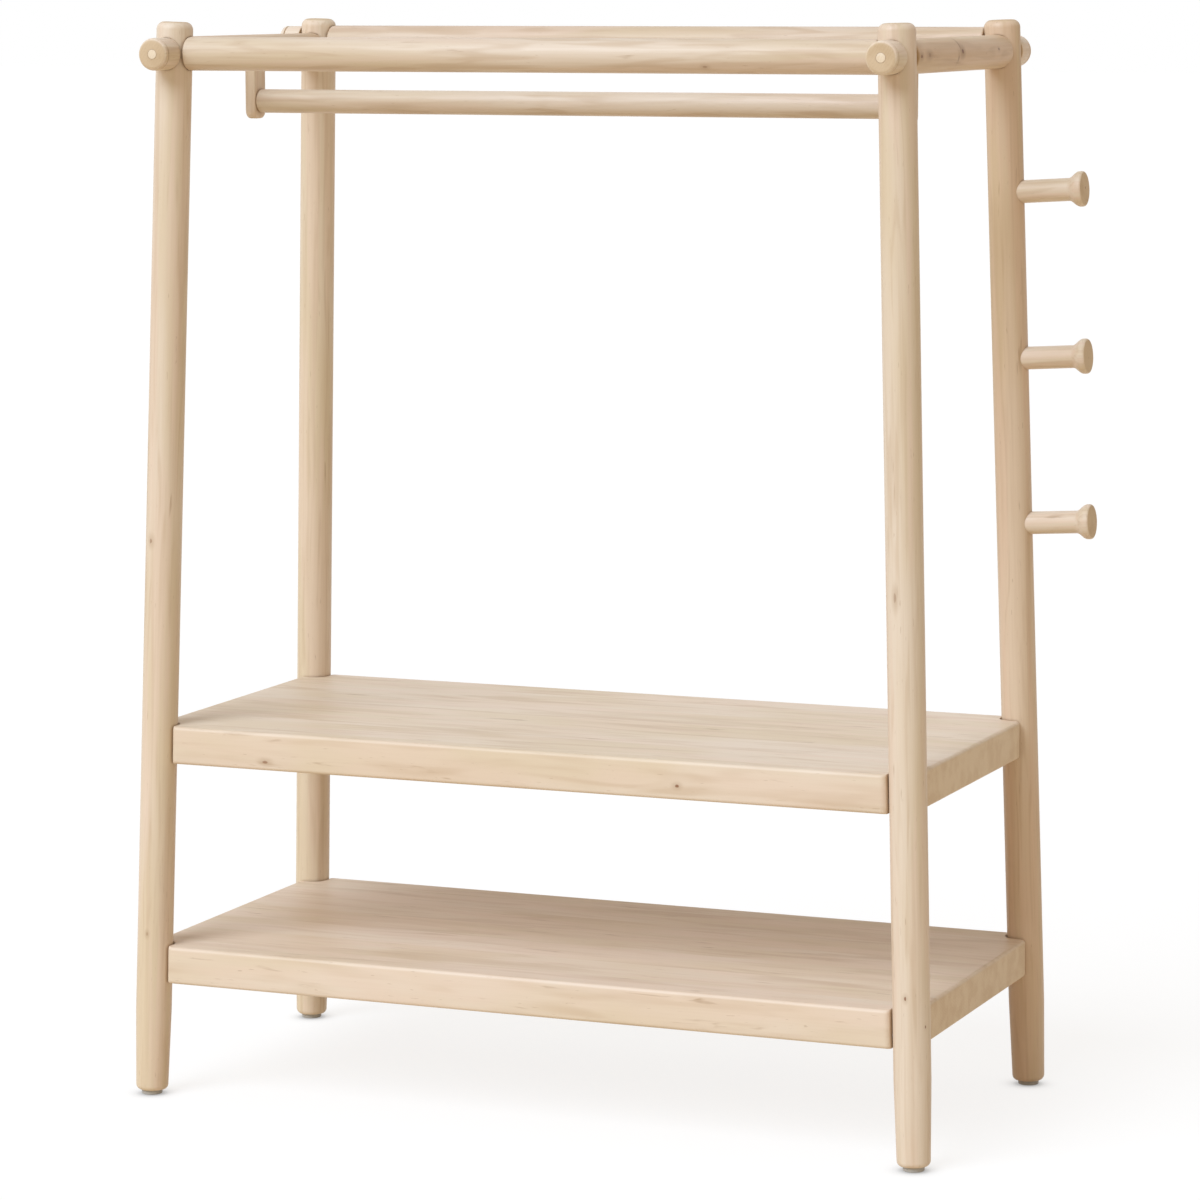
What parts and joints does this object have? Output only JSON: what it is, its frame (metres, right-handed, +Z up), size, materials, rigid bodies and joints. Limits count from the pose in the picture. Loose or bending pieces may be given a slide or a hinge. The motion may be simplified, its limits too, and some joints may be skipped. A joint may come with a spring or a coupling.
{
  "type": "clothes rack",
  "caption": "Free-standing wooden clothes rack with leaning round posts, a hanging rail on drop brackets, turned side pegs and thick shelves below",
  "frame": {"origin": "on the floor, at the centre of the bounding box's bottom face", "axes": "+Z up, +X towards the side with the pegs, +Y from the front, with the hanging rail nearer to it, to the back"},
  "size_m": [0.9454, 0.4434, 1.1404],
  "materials": {
    "post_wood": "satin, clear matt lacquer over pale beech",
    "rail_wood": "satin, clear matt lacquer over pale beech",
    "knob_wood": "satin, turned, end grain on the face",
    "end_grain_wood": "sanded end grain",
    "shelf_wood": "satin, glued staves of pale beech",
    "steel_hardware": "zinc-plated",
    "zinc_hardware": "die-cast",
    "glide_plastic": "matte"
  },
  "bodies": {
    "rack": {"front_left_post": "post_wood", "front_right_post": "post_wood", "rear_left_post": "post_wood", "rear_right_post": "post_wood", "front_rail": "rail_wood", "rear_rail": "rail_wood", "left_side_rail": "rail_wood", "right_side_rail": "rail_wood", "front_left_knob": "knob_wood", "front_right_knob": "knob_wood", "rear_left_knob": "knob_wood", "rear_right_knob": "knob_wood", "rear_rail_knob": "knob_wood", "knob_plugs": "end_grain_wood", "frame_bolts": "steel_hardware", "barrel_nuts": "zinc_hardware", "hanging_rail": "rail_wood", "left_drop_bracket": "rail_wood", "right_drop_bracket": "rail_wood", "bracket_screws": "steel_hardware", "hanging_rail_screws": "steel_hardware", "upper_shelf": "shelf_wood", "lower_shelf": "shelf_wood", "upper_shelf_bolts": "steel_hardware", "lower_shelf_bolts": "steel_hardware", "upper_shelf_cams": "zinc_hardware", "lower_shelf_cams": "zinc_hardware", "upper_peg": "rail_wood", "middle_peg": "rail_wood", "lower_peg": "rail_wood", "glide_inserts": "steel_hardware"},
    "front_left_glide": {"front_left_glide": "glide_plastic"},
    "front_right_glide": {"front_right_glide": "glide_plastic"},
    "rear_left_glide": {"rear_left_glide": "glide_plastic"},
    "rear_right_glide": {"rear_right_glide": "glide_plastic"}
  },
  "joints": [
    {"name": "front_left_glide_height", "type": "slide", "parent": "rack", "child": "front_left_glide", "axis": [0, 0, -1], "range_m": [0, 0.006]},
    {"name": "front_right_glide_height", "type": "slide", "parent": "rack", "child": "front_right_glide", "axis": [0, 0, -1], "range_m": [0, 0.006]},
    {"name": "rear_left_glide_height", "type": "slide", "parent": "rack", "child": "rear_left_glide", "axis": [0, 0, -1], "range_m": [0, 0.006]},
    {"name": "rear_right_glide_height", "type": "slide", "parent": "rack", "child": "rear_right_glide", "axis": [0, 0, -1], "range_m": [0, 0.006]}
  ]
}
